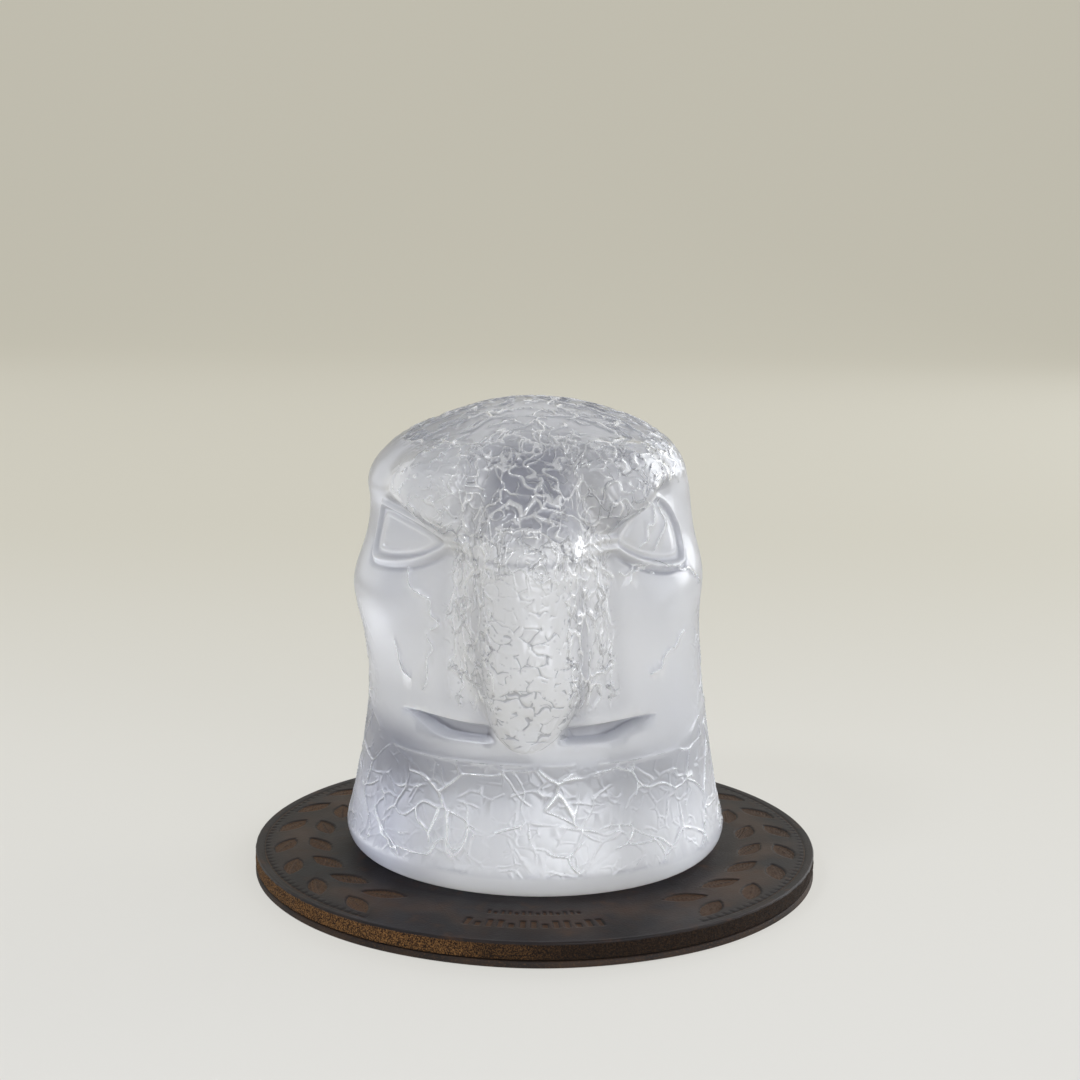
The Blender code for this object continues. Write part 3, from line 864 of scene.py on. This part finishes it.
def glass_shape(turn, radius, height):
    """Moves the block's points along its normals to the carved and crackled surface.

    It also fills glass_layers with the values per point that the finish needs."""
    level = height / glass_height
    along = np.gradient(np.array(blank_profile()), axis=0)
    outward = np.stack([-along[:, 1], along[:, 0]], axis=1)
    outward /= np.linalg.norm(outward, axis=1, keepdims=True)
    outward[0] = (0.0, 1.0)
    outward[-1] = (0.0, -1.0)
    inner = np.repeat(outward[1:-1], glass_columns, axis=0)
    outward = np.concatenate([outward[:1], inner, outward[-1:]])
    band = foot_band / glass_height
    depth = waist_radius * carving(turn, level) * ramp(level, band, band + 0.03)

    def placed(depth):
        out = radius + depth * outward[:, 0]
        x = out * np.sin(turn) + lean(level)
        return np.stack([x, -out * np.cos(turn), height + depth * outward[:, 1]], axis=1)

    cracks, crumple = crackle(turn, level, placed(depth) / MM)
    settled = crown_settling * ramp(level, 0.90, 0.98)
    on = regions(turn, level)
    glass_layers.update({region: on[region] for region in lined_regions})
    # Painted light and shade for the finish's colour.
    glass_layers["pale"] = painted_shading(turn, level)
    glass_layers["vein"] = cracks / full_vein_height
    return placed(depth + (cracks + crumple - settled) * MM) + np.array([0.0, 0.0, glass_bottom])


glass_mesh = turned("glass_head", blank_profile(), glass_columns, glass_shape, front_crowding)
for layer_name, values in glass_layers.items():
    keep_layer(glass_mesh, layer_name, values)
glass = stand("glass_head", glass_mesh, "glass_eagle_head")

# The block starts finer than glass_triangles allows and is thinned where it is plain.
thin = glass.modifiers.new("thin", "DECIMATE")
thin.ratio = glass_triangles / sum(len(face.vertices) - 2 for face in glass_mesh.polygons)
graph = bpy.context.evaluated_depsgraph_get()
thinned = bpy.data.meshes.new_from_object(glass.evaluated_get(graph))
glass.modifiers.clear()
glass.data = thinned
thinned.shade_smooth()

glass_finish, mm = new_finish(
    "satin_glass",
    Transmission_Weight=0.78,
    IOR=1.5,
    Coat_Roughness=0.08,
    Coat_IOR=1.6,
)
on = {layer_name: mm.layer(layer_name) for layer_name in glass_layers}


def crazing(cell, half_width, warp, gaps):
    """Fine lines along cells of this size in mm and the rims beside them, each from 0 to 1; the finish
    paints a highlight on the lines and shade on the rims.
    """
    bend = mm.node("ShaderNodeTexNoise", {}, {"Vector": mm, "Scale": 0.3, "Detail": 1.0}, output="Color")
    sockets = {0: bend, 1: (warp,) * 3, 2: mm}
    bent = mm.node("ShaderNodeVectorMath", {"operation": "MULTIPLY_ADD"}, sockets)
    shares = tuple(1.0 / size for size in cell)
    squeezed = bent.node("ShaderNodeVectorMath", {"operation": "MULTIPLY"}, {0: bent, 1: shares})
    wall = squeezed.cells(1.0, "DISTANCE_TO_EDGE")
    kept = mm.noise(4.5, detail=0.0).between(gaps - 0.04, gaps + 0.04)
    reach = half_width / min(cell)
    line = (1.0 - wall.between(0.0, reach)) * kept
    rim = (1.0 - wall.between(reach, 2.4 * reach)) * kept
    return line, rim


close_lined = on["bridge"] * 0.8 + on["right_brow"] + on["left_brow"] * 0.4 + on["flank"]
fine_line, fine_rim = crazing((3.4, 3.4, 7.0), 0.16, 4.0, 0.48)
lines = fine_line * close_lined
rims = fine_rim * close_lined
# Painted shade: dark spots stand for pits on the beak's front and flanks, which have no relief of their
# own.
painted_pit_shade = (1.0 - mm.cells(0.62).between(0.10, 0.24)) * (on["beak_front"] * 0.7 + on["flank"])
crest = on["vein"].between(0.2, 0.8)
groove = (-1.0 * on["vein"]).between(0.08, 0.6)
# The colour carries painted light and shade: the painted tone, painted highlights on the vein crests and
# fine lines, painted shade in the grooves, the pits and the rims beside the lines.
shade = (on["pale"] + crest * 0.8 + lines * 0.5).tint(painted_shade_glass, glass_pale)
shade = ((rims - lines) * 0.35 + groove * 0.6 + painted_pit_shade * 0.4).tint(shade, painted_shade_grey)
feed(
    glass_finish,
    Base_Color=shade,
    Roughness=0.35 - crest * 0.15 - rims * 0.14,
    Coat_Weight=0.30 + crest * 0.70,
    Normal=(lines * 0.2).bump(MM),
)
thinned.materials.append(glass_finish)


# Studio
# A pale lit sheet that sweeps up from the table into a warm backdrop, as in a light
# tent. Soft boxes stand on both sides, behind, above and low in front.

def sweep_sheet():
    """The floor and the backdrop as one sheet that curves up behind."""
    width, depth, bend, rise = 6.0, 1.6, 0.8, 4.0
    path = [(-3.0, 0.0), (depth, 0.0)]
    for angle in np.linspace(0.1, math.pi / 2, 16):
        path.append((depth + bend * math.sin(angle), bend * (1.0 - math.cos(angle))))
    path.append((depth + bend, rise))
    points = [(x, y, z - 0.2 * MM) for y, z in path for x in (-width, width)]
    faces = [(2 * i, 2 * i + 1, 2 * i + 3, 2 * i + 2) for i in range(len(path) - 1)]
    mesh = bpy.data.meshes.new("sweep")
    mesh.from_pydata(points, [], faces)
    mesh.shade_smooth()
    return mesh


sweep = bpy.data.objects.new("sweep", sweep_sheet())
bpy.context.scene.collection.objects.link(sweep)
floor_light = (1.0, 0.99, 0.955, 1)
backdrop_light = (0.77, 0.735, 0.61, 1)
sweep_finish, mm = new_finish(
    "lit_sheet",
    Base_Color=(0.16, 0.158, 0.15, 1.0),
    Roughness=0.9,
    Specular_IOR_Level=0.1,
    Emission_Strength=0.605,
)
feed(sweep_finish, Emission_Color=mm.axis("Y").between(-220.0, 480.0).tint(floor_light, backdrop_light))
sweep.data.materials.append(sweep_finish)


# Name, place and side in metres and power in watts of each soft box.
soft_boxes = (
    ("left_box", (-0.9, 0.0, 0.42), 0.9, 2.0),
    ("right_box", (1.3, 0.2, 0.45), 1.6, 15.0),
    ("left_back_box", (-1.1, 0.9, 0.5), 1.0, 3.5),
    ("right_back_box", (1.1, 0.9, 0.5), 1.0, 10.0),
    ("front_box", (-0.7, -0.6, 1.1), 0.25, 5.0),
    ("top_box", (0.1, 1.1, 1.1), 1.0, 3.5),
    ("fill_box", (0.5, -1.2, 0.2), 1.2, 21.0),
)
box_colour = (0.94, 0.965, 1.0)
middle_of_head = Vector((0.0, 0.0, 0.05))


def soft_box(name, place, size, power):
    """A square area light that looks at the middle of the head."""
    lamp = bpy.data.lights.new(name, "AREA")
    lamp.shape = "SQUARE"
    lamp.size = size
    lamp.energy = power
    lamp.color = box_colour
    holder = bpy.data.objects.new(name, lamp)
    bpy.context.scene.collection.objects.link(holder)
    aim = middle_of_head - Vector(place)
    holder.matrix_world = Matrix.Translation(place) @ aim.to_track_quat("-Z", "Y").to_matrix().to_4x4()


for soft_box_values in soft_boxes:
    soft_box(*soft_box_values)

world = bpy.data.worlds.new("studio")
world.use_nodes = True
world_light = world.node_tree.nodes["Background"]
world_light.inputs["Color"].default_value = (0.9, 0.92, 1.0, 1.0)
world_light.inputs["Strength"].default_value = 0.04
bpy.context.scene.world = world
bpy.context.scene.view_settings.view_transform = "Standard"


# Camera
# It stands where the photo was taken from: the outline of the disc in the photo gives its
# place, its tilt and its lens.

camera_distance = 0.400
camera_elevation = math.radians(19.6)
camera_pitch = math.radians(9.62)
camera_yaw = math.radians(-0.044)
camera_roll = math.radians(0.72)
camera_lens = 60.4
sensor_width = 36.0

camera = bpy.data.objects.new("camera", bpy.data.cameras.new("camera"))
bpy.context.scene.collection.objects.link(camera)
camera.data.sensor_width = sensor_width
camera.data.lens = camera_lens
camera.data.clip_start = 0.01
back = Vector((0.0, -math.cos(camera_elevation), math.sin(camera_elevation)))
camera.matrix_world = (
    Matrix.Translation(back * camera_distance)
    @ Matrix.Rotation(camera_yaw, 4, "Z")
    @ Matrix.Rotation(math.pi / 2 - camera_pitch, 4, "X")
    @ Matrix.Rotation(camera_roll, 4, "Z")
)
bpy.context.scene.camera = camera
